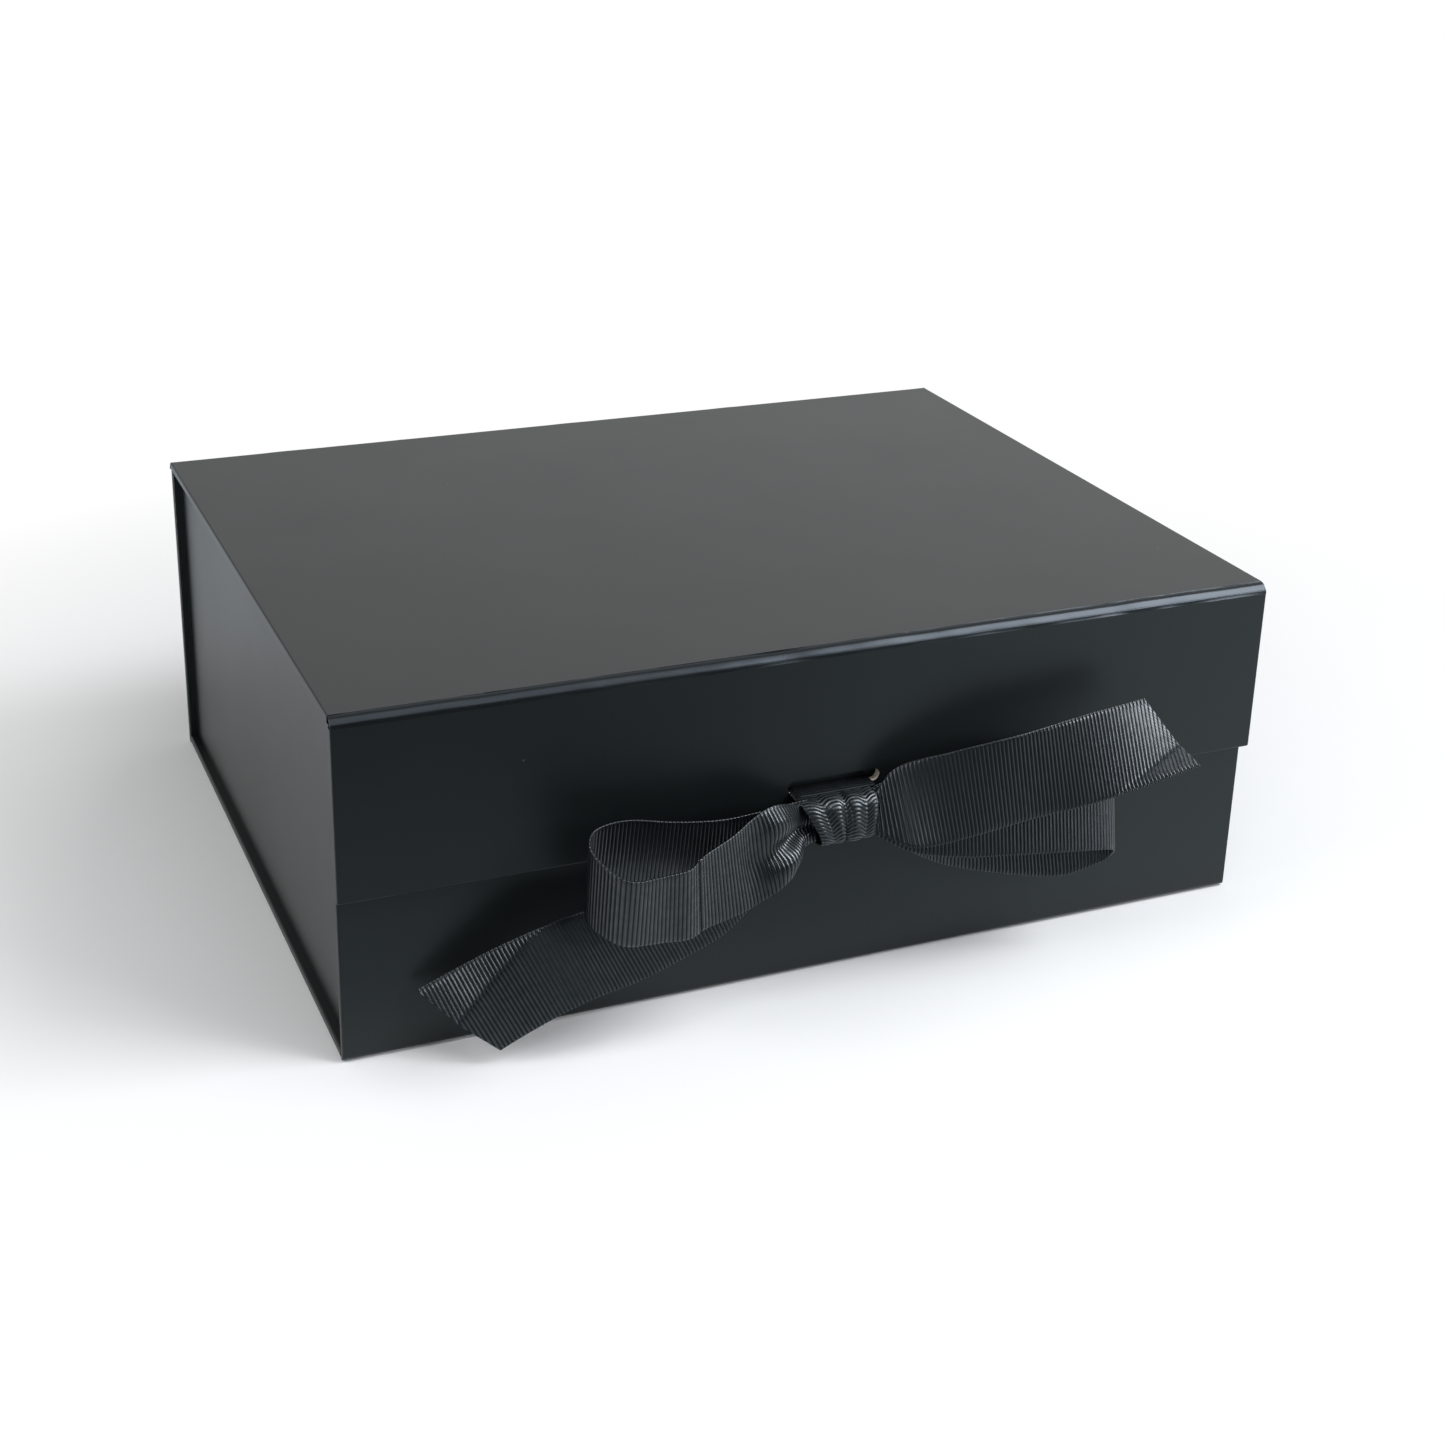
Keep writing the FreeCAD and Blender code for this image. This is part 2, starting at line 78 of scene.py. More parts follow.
lid_low, lid_high = panel_box("lid_board")
flap_low, flap_high = panel_box("flap_board")
front_low, front_high = panel_box("front_board")
back_low, back_high = panel_box("back_board")
base_low, base_high = panel_box("base_board")
print("lid from", tuple(lid_low), "to", tuple(lid_high))

# %% [markdown]
# The camera stands in front, a little to the left and above, as in the photo. Its place was worked out
# from the corners of the box. A small shift of the frame keeps the box where it is in the picture,
# without a tilt that would change how its upright edges lean.

# %% Camera
CAMERA_PLACE = Vector((-0.23293, -0.56239, 0.30877))
CAMERA_RIGHT = Vector((0.92035, -0.39036, 0.02411))
CAMERA_AHEAD = Vector((0.37129, 0.8527, -0.36748))

camera_up = CAMERA_RIGHT.cross(CAMERA_AHEAD).normalized()
camera_data = bpy.data.cameras.new("camera")
camera_data.lens = 56.372
camera_data.sensor_width = 36.0
camera_data.shift_y = -0.0848
camera = bpy.data.objects.new("camera", camera_data)
turn = Matrix((CAMERA_RIGHT, camera_up, -CAMERA_AHEAD)).transposed()
camera.matrix_world = Matrix.Translation(CAMERA_PLACE) @ turn.to_4x4()
bpy.context.collection.objects.link(camera)
bpy.context.scene.camera = camera
bpy.context.scene.view_settings.view_transform = "Standard"
print("camera stands", round(CAMERA_PLACE.length, 3), "m from the middle of the base")

# %% [markdown]
# A material in Blender is a small graph of nodes. These helpers add a node with its settings, start a
# material with its main shader, mix two colours, spread a value over a new range, and do one sum, so
# that each finish below stays short.

# %% Node helpers
def add_node(tree, kind, **settings):
    """A new node of that kind, with its properties set by name and its inputs by socket name."""
    node = tree.nodes.new(kind)
    for key, value in settings.items():
        if hasattr(node, key):
            setattr(node, key, value)
        else:
            node.inputs[key.replace("_", " ")].default_value = value
    return node


def new_material(name, **settings):
    """A material, its node tree and its Principled BSDF, with plain settings by socket name."""
    material = bpy.data.materials.new(name)
    material.use_nodes = True
    tree = material.node_tree
    shader = tree.nodes["Principled BSDF"]
    for key, value in settings.items():
        shader.inputs[key.replace("_", " ")].default_value = value
    print("finish:", name)
    return material, tree, shader


def colour_mix(tree, low, high, factor):
    """The colour between low and high that factor, a socket, picks."""
    mix = add_node(tree, "ShaderNodeMix", data_type="RGBA")
    tree.links.new(factor, mix.inputs[0])
    for socket, colour in ((mix.inputs[6], low), (mix.inputs[7], high)):
        if isinstance(colour, tuple):
            socket.default_value = (*colour, 1)
        else:
            tree.links.new(colour, socket)
    return mix.outputs[2]


def value_range(tree, source, low, high, to_low, to_high):
    """source between low and high, spread over to_low to to_high."""
    spread = add_node(tree, "ShaderNodeMapRange")
    tree.links.new(source, spread.inputs["Value"])
    spread.inputs["From Min"].default_value = low
    spread.inputs["From Max"].default_value = high
    spread.inputs["To Min"].default_value = to_low
    spread.inputs["To Max"].default_value = to_high
    return spread.outputs["Result"]


def sum_of(tree, operation, *sources):
    """The result of a math node on sources, each a socket or a plain number."""
    node = add_node(tree, "ShaderNodeMath", operation=operation)
    for socket, source in zip(node.inputs, sources):
        if isinstance(source, float):
            socket.default_value = source
        else:
            tree.links.new(source, socket)
    return node.outputs[0]


def coordinates(tree, kind):
    """The surface's coordinates of that kind."""
    return add_node(tree, "ShaderNodeTexCoord").outputs[kind]


# %% [markdown]
# Two effects come back in several finishes, so each is a node group. The first is the soft unevenness
# of pressed paper: a broad cloud and a fine grain. The second is dust: a few tiny pale specks, found
# where the distance to scattered points is very small.

# %% Shared effects
def new_group(name, scale_name, outputs):
    """An empty node group that takes a vector and a scale, and its two end nodes."""
    group = bpy.data.node_groups.new(name, "ShaderNodeTree")
    group.interface.new_socket("Vector", in_out="INPUT", socket_type="NodeSocketVector")
    group.interface.new_socket(scale_name, in_out="INPUT", socket_type="NodeSocketFloat")
    for label in outputs:
        group.interface.new_socket(label, in_out="OUTPUT", socket_type="NodeSocketFloat")
    return group, group.nodes.new("NodeGroupInput"), group.nodes.new("NodeGroupOutput")


paper_grain, given, result = new_group("paper grain", "Grain Scale", ["Cloud", "Grain"])
cloud = add_node(paper_grain, "ShaderNodeTexNoise", Scale=22.0, Detail=3.0, Roughness=0.55)
fine = add_node(paper_grain, "ShaderNodeTexNoise", Detail=2.0, Roughness=0.6)
paper_grain.links.new(given.outputs["Vector"], cloud.inputs["Vector"])
paper_grain.links.new(given.outputs["Vector"], fine.inputs["Vector"])
paper_grain.links.new(given.outputs["Grain Scale"], fine.inputs["Scale"])
paper_grain.links.new(cloud.outputs[0], result.inputs["Cloud"])
paper_grain.links.new(fine.outputs[0], result.inputs["Grain"])

dust, given, result = new_group("dust", "Spread", ["Mask"])
points = add_node(dust, "ShaderNodeTexVoronoi", feature="F1")
dust.links.new(given.outputs["Vector"], points.inputs["Vector"])
dust.links.new(given.outputs["Spread"], points.inputs["Scale"])
speck = value_range(dust, points.outputs["Distance"], 0.007, 0.017, 1.0, 0.0)
dust.links.new(speck, result.inputs["Mask"])
print("node groups:", paper_grain.name, "and", dust.name)


def grain_of(tree, scale):
    """The paper grain group on Object coordinates."""
    node = add_node(tree, "ShaderNodeGroup", node_tree=paper_grain)
    node.inputs["Grain Scale"].default_value = scale
    tree.links.new(coordinates(tree, "Object"), node.inputs["Vector"])
    return node


def bump_from(tree, shader, height, depth):
    """Raises the surface by up to depth metres where height is 1."""
    bump = add_node(tree, "ShaderNodeBump", Strength=1.0, Distance=depth)
    tree.links.new(height, bump.inputs["Height"])
    tree.links.new(bump.outputs["Normal"], shader.inputs["Normal"])


# %% [markdown]
# The outside is paper printed black and covered with a matt film. The film is smooth to the touch but
# spreads light widely, so flat walls show soft reflections of the room. The cloud varies how matt it
# is, the grain makes a faint orange peel, and the dust adds the few pale specks that black film always
# shows. Where the film is creased over a fold it is rubbed smooth, so the folds get a shinier version.

# %% Black laminate
FILM_SHINE = 0.42
FILM_GRAIN = 2600.0
DUST_SPREAD = 46.0
DUST_COLOUR = (0.07, 0.075, 0.075)
PRINT_COLOURS = ((0.0036, 0.0049, 0.0054), (0.0046, 0.0061, 0.0066))


def black_film(name, tint, matt_low, matt_high):
    """The printed paper with its film: tint colours its shine, matt_low to matt_high its roughness."""
    settings = {"Specular_IOR_Level": FILM_SHINE, "Specular_Tint": (*tint, 1.0)}
    material, tree, shader = new_material(name, **settings)
    grain = grain_of(tree, FILM_GRAIN)
    specks = add_node(tree, "ShaderNodeGroup", node_tree=dust)
    specks.inputs["Spread"].default_value = DUST_SPREAD
    tree.links.new(coordinates(tree, "Object"), specks.inputs["Vector"])
    print_tone = colour_mix(tree, *PRINT_COLOURS, grain.outputs["Cloud"])
    dusted = colour_mix(tree, print_tone, DUST_COLOUR, specks.outputs["Mask"])
    tree.links.new(dusted, shader.inputs["Base Color"])
    matt = value_range(tree, grain.outputs["Cloud"], 0.3, 0.7, matt_low, matt_high)
    tree.links.new(matt, shader.inputs["Roughness"])
    bump_from(tree, shader, grain.outputs["Grain"], 0.006 * MM)
    return material


laminate = black_film("black laminate", (0.9, 1.0, 1.0), 0.37, 0.39)
creased = black_film("creased laminate", (0.78, 0.88, 1.0), 0.26, 0.30)

# %% [markdown]
# Inside, the box is lined with uncoated black paper: duller than the film, with a coarser fibre grain.
# Its colour follows the grain and its roughness the cloud. The finishes after it are made in the same
# way with other values, so one helper makes them all.

# %% Black liner paper
def grained(name, scale, low, high, toned_by, matt, matted_by, spread=(0.0, 1.0), **settings):
    """A finish whose colour, low to high, and roughness, over matt, follow the cloud or the grain."""
    material, tree, shader = new_material(name, **settings)
    grain = grain_of(tree, scale)
    share = value_range(tree, grain.outputs[toned_by], *spread, 0.0, 1.0)
    tree.links.new(colour_mix(tree, low, high, share), shader.inputs["Base Color"])
    roughness = value_range(tree, grain.outputs[matted_by], 0.3, 0.7, *matt)
    tree.links.new(roughness, shader.inputs["Roughness"])
    return material, tree, shader, grain


liner, tree, shader, grain = grained(
    "black liner paper",
    1500.0,
    (0.009, 0.009, 0.0095),
    (0.018, 0.018, 0.019),
    "Grain",
    (0.66, 0.69),
    "Cloud",
    Specular_IOR_Level=0.25,
)
bump_from(tree, shader, grain.outputs["Grain"], 0.02 * MM)

# %% [markdown]
# The board under the paper is pressed from waste paper: pale, with brown and grey fibres. It shows only
# where the slot is punched through. A stronger bump makes its cut edge look torn and dry.

# %% Raw board
board, tree, shader, grain = grained(
    "raw board",
    1900.0,
    (0.30, 0.24, 0.18),
    (0.66, 0.60, 0.52),
    "Grain",
    (0.78, 0.88),
    "Cloud",
    spread=(0.3, 0.65),
    Specular_IOR_Level=0.2,
)
bump_from(tree, shader, grain.outputs["Grain"], 0.05 * MM)

# %% [markdown]
# The magnets and the discs they pull on are plated steel, and the ears of the side walls are held by
# clear tape. Both are hidden under paper, but they keep a finish of their own for anyone who takes the
# box apart.

# %% Steel and tape
steel = grained(
    "plated steel",
    3000.0,
    (0.46, 0.46, 0.47),
    (0.60, 0.60, 0.61),
    "Cloud",
    (0.22, 0.34),
    "Grain",
    Metallic=1.0,
)[0]
tape = grained(
    "clear tape",
    900.0,
    (0.52, 0.50, 0.44),
    (0.62, 0.60, 0.55),
    "Cloud",
    (0.18, 0.30),
    "Grain",
    Specular_IOR_Level=0.5,
)[0]

# %% [markdown]
# Grosgrain is woven with thick threads across and thin shiny threads along. The thick threads make the
# ribs, which are modelled. The thin threads are far finer than a rib, so they are a bump over the
# ribbon's own UV, where U runs along the ribbon and V across it, both in metres. Light hardly gets down
# between the ribs, so the same U paints that shade into the cloth's colour there, darker than on the
# crowns, and makes it duller. The shine is in two parts: a weak bluish one all over, and a coat that
# lies only on the crowns of the ribs.

# %% Black grosgrain
RIB_PITCH = 1.07 * MM
THREAD = 0.17 * MM
WAVE_TEXTURE_PERIOD = math.tau / 20
grosgrain, tree, shader = new_material(
    "black grosgrain",
    Specular_IOR_Level=0.27,
    Specular_Tint=(0.66, 0.87, 1.0, 1.0),
    Coat_IOR=1.8,
    Coat_Roughness=0.24,
)
woven_place = coordinates(tree, "UV")
split = add_node(tree, "ShaderNodeSeparateXYZ")
tree.links.new(woven_place, split.inputs[0])
wave = sum_of(tree, "SINE", sum_of(tree, "MULTIPLY", split.outputs["X"], math.pi / RIB_PITCH))
crown = value_range(tree, sum_of(tree, "ABSOLUTE", wave), 0.2, 0.85, 0.0, 1.0)
slub = add_node(tree, "ShaderNodeTexNoise", Scale=420.0, Detail=3.0)
tree.links.new(woven_place, slub.inputs["Vector"])
# Mask of painted shade between the ribs, with the slub's random tone on the crowns.
groove_shade_and_slub = sum_of(tree, "MULTIPLY", crown, value_range(tree, slub.outputs[0], 0.3, 0.7, 0.65, 1.0))
# Painted shade: the base colour is near black between the ribs and lighter on their crowns.
groove_shaded_colour = colour_mix(tree, (0.0008, 0.0009, 0.001), (0.004, 0.0048, 0.006), groove_shade_and_slub)
tree.links.new(groove_shaded_colour, shader.inputs["Base Color"])
tree.links.new(value_range(tree, groove_shade_and_slub, 0.0, 0.9, 0.5, 0.32), shader.inputs["Roughness"])
tree.links.new(value_range(tree, groove_shade_and_slub, 0.1, 0.9, 0.0, 0.75), shader.inputs["Coat Weight"])
threads = add_node(tree, "ShaderNodeTexWave", wave_type="BANDS", bands_direction="Y", Distortion=0.6)
threads.inputs["Scale"].default_value = WAVE_TEXTURE_PERIOD / THREAD
tree.links.new(woven_place, threads.inputs["Vector"])
bump_from(tree, shader, threads.outputs["Fac"], 0.003 * MM)


# %% [markdown]
# Each wrapped panel starts as a cube at its size and place. In edit mode the edges that are folded
# paper on the real box are picked and bevelled to a small radius. A weighted-normal modifier keeps the
# wide faces flat in the shading.

# %% Panel helpers
def only(piece):
    """Selects one object and makes it active."""
    bpy.ops.object.select_all(action="DESELECT")
    piece.select_set(True)
    bpy.context.view_layer.objects.active = piece


def block(name, low, high):
    """A cube primitive that fills the box from low to high."""
    bpy.ops.object.select_all(action="DESELECT")
    bpy.ops.mesh.primitive_cube_add(size=1, location=(Vector(low) + Vector(high)) / 2)
    piece = bpy.context.object
    piece.name = name
    piece.scale = Vector(high) - Vector(low)
    bpy.ops.object.transform_apply(location=True, rotation=True, scale=True)
    return piece


def pick_parts(piece, kind, wanted):
    """Goes into edit mode and selects the edges or faces that wanted chooses."""
    only(piece)
    bpy.ops.object.mode_set(mode="EDIT")
    bpy.ops.mesh.select_all(action="DESELECT")
    bpy.ops.mesh.select_mode(type=kind)
    shape = bmesh.from_edit_mesh(piece.data)
    for part in shape.edges if kind == "EDGE" else shape.faces:
        part.select_set(wanted(part))
    bmesh.update_edit_mesh(piece.data)


def round_edges(piece, picked, radius, segments=3):
    """Bevels the edges that picked(middle, direction) chooses."""

    def wanted(edge):
        first, second = (corner.co for corner in edge.verts)
        direction = (second - first).normalized()
        return picked((first + second) / 2, Vector(map(abs, direction)))

    pick_parts(piece, "EDGE", wanted)
    bpy.ops.mesh.bevel(offset=radius, segments=segments, profile=0.5, affect="EDGES")
    bpy.ops.object.mode_set(mode="OBJECT")


def apply_modifier(piece, kind, **settings):
    """Adds a modifier with these settings and applies it."""
    only(piece)
    modifier = piece.modifiers.new(kind.lower(), kind)
    for key, value in settings.items():
        setattr(modifier, key, value)
    bpy.ops.object.modifier_apply(modifier=modifier.name)


def smooth_panel(piece):
    """Smooth shading over the rounded edges, with the flat faces kept flat."""
    only(piece)
    bpy.ops.object.shade_smooth_by_angle(angle=math.radians(40))
    apply_modifier(piece, "WEIGHTED_NORMAL", keep_sharp=True)
    print(piece.name, len(piece.data.polygons), "faces")


def finish_piece(piece, material, body=None):
    """Gives a piece its material and the body that carries it."""
    piece.data.materials.clear()
    piece.data.materials.append(material)
    if body:
        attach(piece, body)


# %% [markdown]
# The lid is a panel whose long front and back edges run on into the folds, so only its two end edges
# are rounded. The flap is rounded at its ends and along its lower edge. A bevel modifier would round
# every edge, so the edges are picked instead.

# %% Lid and flap covers
lid_cover = block("lid_cover", lid_low + Vector((0, 0, LINER_STEP)), lid_high)
round_edges(lid_cover, lambda middle, way: abs(middle.x) > lid_high.x - MM and way.y > 0.9, EDGE_RADIUS)
smooth_panel(lid_cover)
finish_piece(lid_cover, laminate, "lid")
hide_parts("lid_wrap")

flap_cover = block("flap_cover", flap_low, flap_high - Vector((0, LINER_STEP, 0)))


def flap_edge(middle, way):
    """True for the edges at the flap's two ends, below the fold, and along its lower side."""
    at_end = abs(middle.x) > flap_high.x - MM and way.x < 0.1 and middle.z < flap_high.z - MM
    return at_end or (way.x > 0.9 and middle.z < flap_low.z + MM)


round_edges(flap_cover, flap_edge, EDGE_RADIUS)

# %% [markdown]
# The ribbon goes through a slot punched in the flap, with round ends. A cutter made from a cube with
# fully bevelled ends is taken out of the cover by a boolean. It is a hair larger than the punched
# board, so the raw board shows inside the slot as it does on the real box.

# %% Slot in the flap
SLOT = Vector((0.6 * MM, flap_low.y, 55.8 * MM))
SLOT_LENGTH = 25.7 * MM
SLOT_WIDTH = 3.5 * MM
CUTTER_DEPTH = 8 * MM
ALMOST_ROUND = 0.999
slot_half = Vector((SLOT_LENGTH / 2, CUTTER_DEPTH, SLOT_WIDTH / 2))
cutter = block("cutter", SLOT - slot_half, SLOT + slot_half)
round_edges(cutter, lambda middle, way: way.y > 0.9, SLOT_WIDTH / 2 * ALMOST_ROUND, segments=10)
apply_modifier(flap_cover, "BOOLEAN", object=cutter, operation="DIFFERENCE", solver="EXACT")
bpy.data.objects.remove(cutter)
smooth_panel(flap_cover)
finish_piece(flap_cover, laminate, "flap")
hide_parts("flap_wrap")

# %% [markdown]
# The case is one sheet round the base, the front and the back. The paper turns round the lower edges
# without a cut, so those edges get a larger radius. The side walls stand a little inside the base,
# which leaves the narrow ledge that is seen along the left side.

# %% Case covers
FOLD_RADIUS = 1.6 * MM
base_cover = block(
    "base_cover", (base_low.x, front_high.y, 0), (base_high.x, back_low.y, base_high.z - LINER_STEP)
)
round_edges(
    base_cover, lambda middle, way: abs(middle.x) > base_high.x - MM and way.y > 0.9, EDGE_RADIUS
)
smooth_panel(base_cover)
finish_piece(base_cover, laminate, "case")
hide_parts("base_wrap")


def standing_cover(name, low, high, outer_y):
    """A front or back wall down to the table, with the paper's turn at its outer lower edge."""
    piece = block(name, low, high)
    round_edges(
        piece,
        lambda middle, way: way.x > 0.9 and middle.z < MM and abs(middle.y - outer_y) < MM,
        FOLD_RADIUS,
        segments=6,
    )
    round_edges(
        piece,
        lambda middle, way: (abs(middle.x) > high.x - MM and way.z > 0.9)
        or (way.x > 0.9 and middle.z > high.z - MM),
        EDGE_RADIUS,
    )
    smooth_panel(piece)
    finish_piece(piece, laminate, "case")
    return piece


front_cover = standing_cover(
    "front_cover",
    Vector((front_low.x, front_low.y, 0)),
    Vector((front_high.x, front_high.y - LINER_STEP, front_high.z)),
    front_low.y,
)
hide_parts("front_wrap")
back_cover = standing_cover(
    "back_cover",
    Vector((back_low.x, back_low.y + LINER_STEP, 0)),
    back_high,
    back_high.y,
)
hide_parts("back_wrap")

# %% [markdown]
# A side wall is a board in a paper sleeve. At each end the sleeve's paper goes on as an ear, glued flat
# inside the front and the back wall. Both sides are alike, so a loop makes them, and the ears are thin
# blocks joined to the wall.

# %% Side covers
EAR_LENGTH = 17.6 * MM
EAR_RISE = 3.0 * MM
EAR_OVERLAP = 0.1 * MM
SIDE_TOP_RADIUS = 0.7 * MM
for side, toward_middle in (("left", 1), ("right", -1)):
    low, high = panel_box(f"{side}_side_board")
    low.z = base_high.z - LINER_STEP
    wall = block(f"{side}_side_cover", low, high)
    round_edges(
        wall, lambda middle, way: way.y > 0.9 and middle.z > high.z - MM, SIDE_TOP_RADIUS, segments=4
    )
    inner = high.x if toward_middle > 0 else low.x
    near, far = sorted((inner - toward_middle * EAR_OVERLAP, inner + toward_middle * EAR_LENGTH))
    ears = []
    for end_y, into in ((low.y, 1), (high.y, -1)):
        thin = sorted((end_y, end_y + into * PAPER))
        ears.append(
            block("ear", (near, thin[0], low.z + EAR_RISE), (far, thin[1], high.z - EAR_RISE))
        )
    bpy.ops.object.select_all(action="DESELECT")
    for piece in (*ears, wall):
        piece.select_set(True)
    bpy.context.view_layer.objects.active = wall
    bpy.ops.object.join()
    smooth_panel(wall)
    finish_piece(wall, laminate, "case")
    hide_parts(f"{side}_side_wrap")

# %% [markdown]
# At the two hinges there is no board, only paper, and it takes a blunt slanting line from one board to
# the next. The strip is a block with its outer edge bevelled to a slant, the two new bends softened,
# and the inner faces deleted. It is cut into many short lengths, so that a displace modifier can give
# it the slight waves of bent paper, and solidify gives it the paper's thickness.

# %% Strip for a fold
FOLD_CUTS = 120
FOLD_INSET = 0.2 * MM
SLANT = 1.75 * MM
LOWER_BEND = 0.35 * MM
UPPER_BEND = 0.85 * MM
NEAR = 0.1 * MM


def bent_strip(name, low, high, outer_y, inner_y):
    """The slanting strip between low and high, open towards the box and cut into short lengths."""

    def on_top(middle, way):
        return way.x > 0.9 and middle.z > high.z - NEAR

    def on_outside(middle, way):
        return way.x > 0.9 and abs(middle.y - outer_y) < NEAR

    def hidden(face):
        return face.normal.z < -0.9 or face.normal.y * outward < -0.9 or abs(face.normal.x) > 0.9

    def lengthwise(edge):
        return abs(edge.verts[0].co.x - edge.verts[1].co.x) > MM

    outward = 1 if outer_y > inner_y else -1
    strip = block(name, low, high)
    round_edges(strip, lambda m, way: on_top(m, way) and on_outside(m, way), SLANT, segments=1)
    round_edges(
        strip, lambda m, way: on_outside(m, way) and m.z > low.z + 2 * NEAR, LOWER_BEND, segments=3
    )
    round_edges(
        strip, lambda m, way: on_top(m, way) and abs(m.y - inner_y) > 2 * NEAR, UPPER_BEND, segments=6
    )
    pick_parts(strip, "FACE", hidden)
    bpy.ops.mesh.delete(type="FACE")
    bpy.ops.object.mode_set(mode="OBJECT")
    pick_parts(strip, "EDGE", lengthwise)
    bpy.ops.mesh.subdivide(number_cuts=FOLD_CUTS)
    bpy.ops.object.mode_set(mode="OBJECT")
    print(name, "has", len(strip.data.polygons), "faces before it gets its thickness")
    return strip


# %% [markdown]
# The strip stays where it is glued, and only its free middle gets the waves.

# %% Paper folds
FOLD_THICKNESS = 0.3 * MM
WAVE_STRENGTH = 0.55 * MM
WAVE_MIDDLE = 0.8
GLUED = 0.02 * MM
waves = bpy.data.textures.new("paper waves", "CLOUDS")
waves.noise_scale = 0.014
waves.noise_depth = 1


def paper_fold(name, outer_y, inner_y, first):
    """The fold strip between the lid and an upright panel; first only orders two ends that nothing
    uses.
    """
    low = Vector((lid_low.x + FOLD_INSET, min(outer_y, inner_y), flap_high.z))
    high = Vector((lid_high.x - FOLD_INSET, max(outer_y, inner_y), lid_high.z))
    strip = bent_strip(name, low, high, outer_y, inner_y)
    free = strip.vertex_groups.new(name="free")
    for vertex in strip.data.vertices:
        held = abs(vertex.co.y - inner_y) < GLUED or vertex.co.z < low.z + GLUED
        free.add([vertex.index], 0.0 if held else 1.0, "REPLACE")
    apply_modifier(
        strip,
        "DISPLACE",
        texture=waves,
        strength=WAVE_STRENGTH,
        mid_level=WAVE_MIDDLE,
        vertex_group="free",
    )
    apply_modifier(strip, "SOLIDIFY", thickness=FOLD_THICKNESS, offset=-1.0)
    only(strip)
    bpy.ops.object.shade_smooth_by_angle(angle=math.radians(50))
    finish_piece(strip, creased)
    ends = [Vector((0, inner_y, lid_high.z)), Vector((0, outer_y, flap_high.z))]
    if first != "lid":
        ends.reverse()
    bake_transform(strip)
    print(name, "has", len(strip.data.vertices), "points")


paper_fold("front_fold", flap_low.y, lid_low.y, "lid")
paper_fold("back_fold", back_high.y, lid_high.y, "case")

# %% [markdown]
# The ribbon is cloth, so it is made by mesh code: a smooth path through a few stations gives its middle
# line, and at each station an upward direction and a share of the full width say how it stands. Places
# are given in millimetres from the slot, because that is where they are easy to judge in the photo.

# %% Ribbon paths
RIBBON_HALF = 11.5 * MM


def smooth_path(points, positions):
    """The smooth curve through points; position 2.5 lies half-way from point 2 to point 3."""
    points = np.asarray(points, float)
    last = len(points) - 1
    span = np.clip(np.floor(positions).astype(int), 0, last - 1)
    part = (positions - span)[:, None]
    before, begin, finish, after = (points[np.clip(span + k, 0, last)] for k in (-1, 0, 1, 2))
    bend = 2 * before - 5 * begin + 4 * finish - after
    twist = 3 * begin - 3 * finish + after - before
    return begin + ((finish - before) * part + bend * part**2 + twist * part**3) / 2


def lengths_along(line):
    """The length of a line of points up to each of them."""
    steps = np.linalg.norm(np.diff(line, axis=0), axis=1)
    return np.concatenate([[0], np.cumsum(steps)])


def from_slot(points):
    """Millimetres right of the slot, in front of the flap and above the slot, as frame points."""
    points = np.asarray(points, float) * MM
    return np.array(SLOT) + points * np.array((1, -1, 1))


def unit(vectors):
    """The same directions with length 1."""
    return vectors / np.linalg.norm(vectors, axis=-1, keepdims=True)


def face_normals(grid):
    """The direction square to a grid of points at each of them."""
    return unit(np.cross(np.gradient(grid, axis=0), np.gradient(grid, axis=1)))


print("ribbon width", 2 * RIBBON_HALF / MM, "mm")

# %% [markdown]
# The ribs stand out on both sides of the ribbon, and its two edges get finer beads, the selvedge. So
# the mesh is a closed skin round a grid of points, lifted by the weave, with its UV in metres for the
# finish.

# %% Woven mesh
RIB_HEIGHT = 0.19 * MM
CORE = 0.2 * MM
SELVEDGE = 0.75 * MM
SELVEDGE_FADE = 0.3 * MM
BEAD = 0.75


def rib_height(along, across):
    """How far the weave stands out at a place on the ribbon."""
    rib = np.abs(np.sin(np.pi * along / RIB_PITCH)) ** 0.7
    bead = BEAD * np.abs(np.sin(2 * np.pi * along / RIB_PITCH))
    edge = np.clip((np.abs(across) - (RIBBON_HALF - SELVEDGE)) / SELVEDGE_FADE, 0, 1)
    return RIB_HEIGHT * (rib * (1 - edge) + bead * edge)


def skin_faces(rows, columns):
    """The faces of a closed skin: the upper grid, the lower grid, and the rim between them."""
    upper = np.arange(rows * columns).reshape(rows, columns)
    lower = upper + rows * columns
    corners = (upper[:-1, :-1], upper[1:, :-1], upper[1:, 1:], upper[:-1, 1:])
    quads = [np.stack(corners, -1).reshape(-1, 4)]
    quads.append(np.stack([corner + rows * columns for corner in corners[::-1]], -1).reshape(-1, 4))
    rim, below = (
        np.concatenate([layer[:-1, 0], layer[-1, :-1], layer[:0:-1, -1], layer[0, :0:-1]])
        for layer in (upper, lower)
    )
    quads.append(np.stack([rim, below, np.roll(below, -1), np.roll(rim, -1)], -1))
    return np.concatenate(quads)


